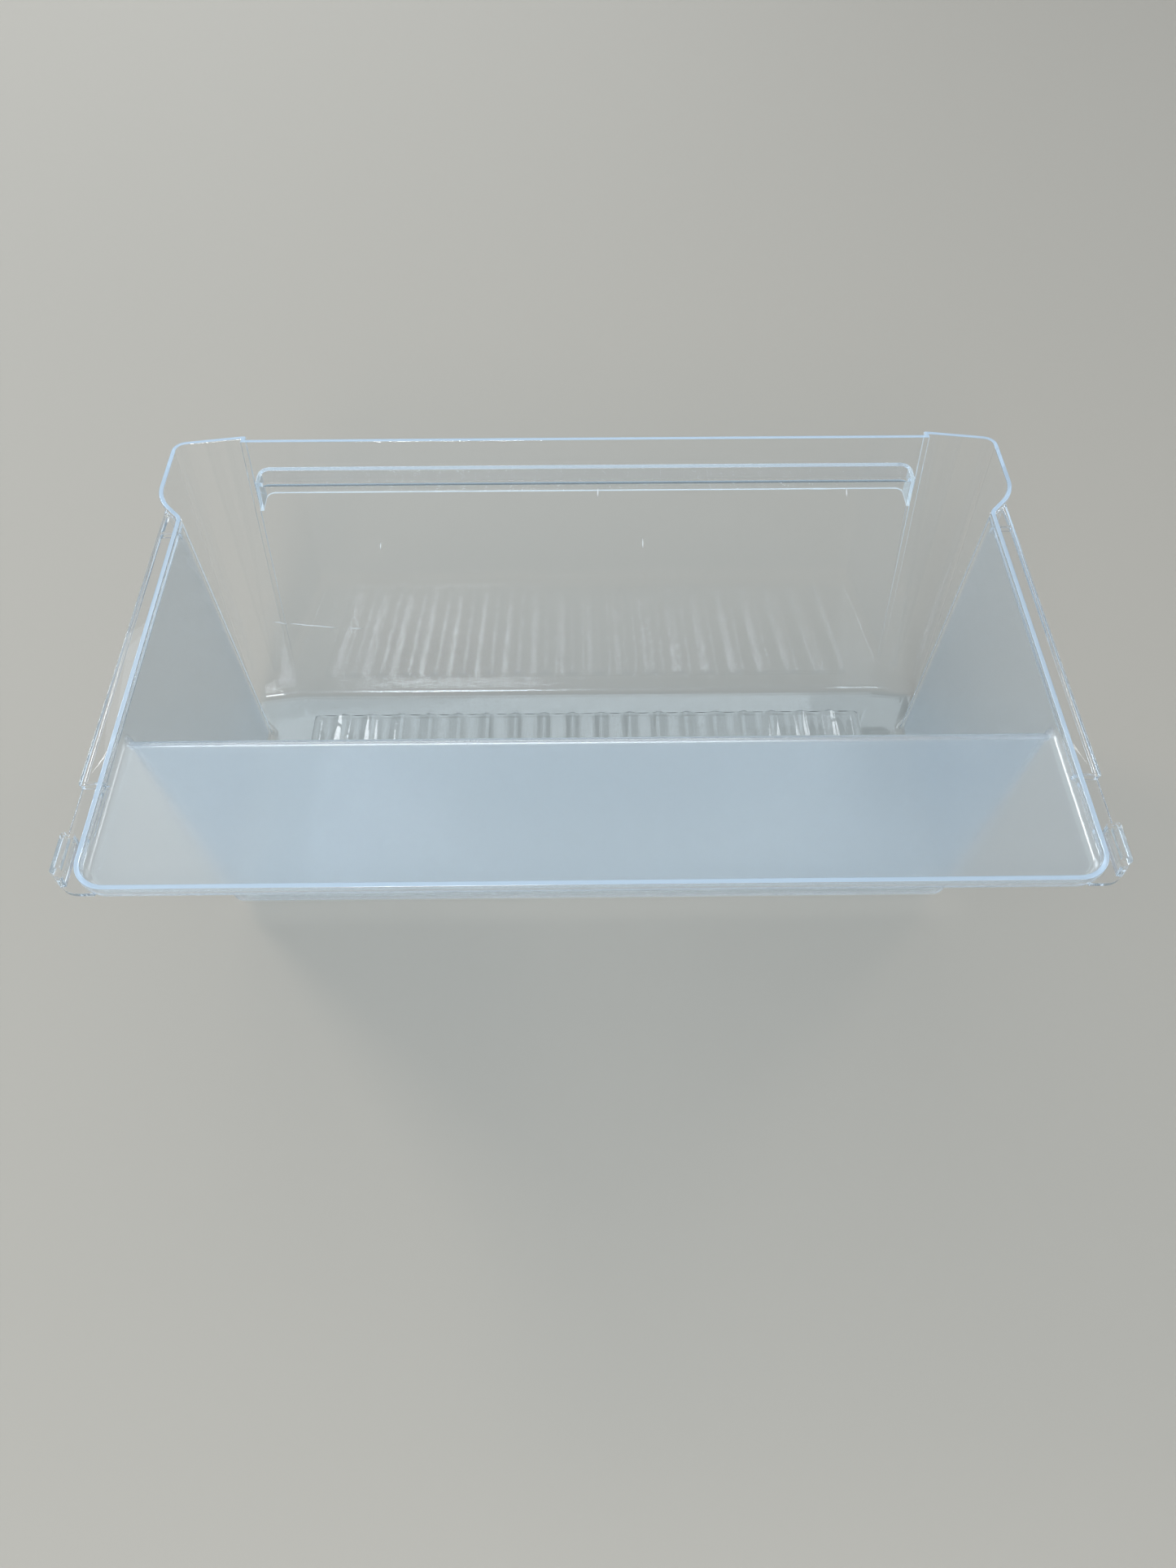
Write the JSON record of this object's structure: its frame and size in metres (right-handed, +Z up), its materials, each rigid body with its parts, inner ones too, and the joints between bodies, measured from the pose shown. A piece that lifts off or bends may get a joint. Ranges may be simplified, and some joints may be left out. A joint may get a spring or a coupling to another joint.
{
  "type": "crisper drawer",
  "caption": "Clear moulded crisper drawer with a raised rear shelf, flared front corners, a hooked pull lip, side runners and rear stop lugs.",
  "frame": {"origin": "middle of the drawer's bounding box, at the level of its flat underside", "axes": "+Z up, the front with the pull lip faces -Y, the raised shelf lies towards +Y, X runs across the drawer"},
  "size_m": [0.61, 0.407, 0.242],
  "materials": {
    "clear_plastic": "polished clear polystyrene with a faint blue cast at its edges",
    "hazy_plastic": "clear polystyrene with a fine haze that blurs what lies behind it"
  },
  "bodies": {
    "root": {"bin_floor": "clear_plastic", "front_panel": "clear_plastic", "left_front_corner": "clear_plastic", "right_front_corner": "clear_plastic", "left_side_wall": "hazy_plastic", "right_side_wall": "hazy_plastic", "rear_riser": "hazy_plastic", "rear_shelf": "hazy_plastic", "pull_lip": "clear_plastic", "left_runner": "clear_plastic", "right_runner": "clear_plastic", "left_rear_lug": "clear_plastic", "right_rear_lug": "clear_plastic"}
  },
  "joints": []
}
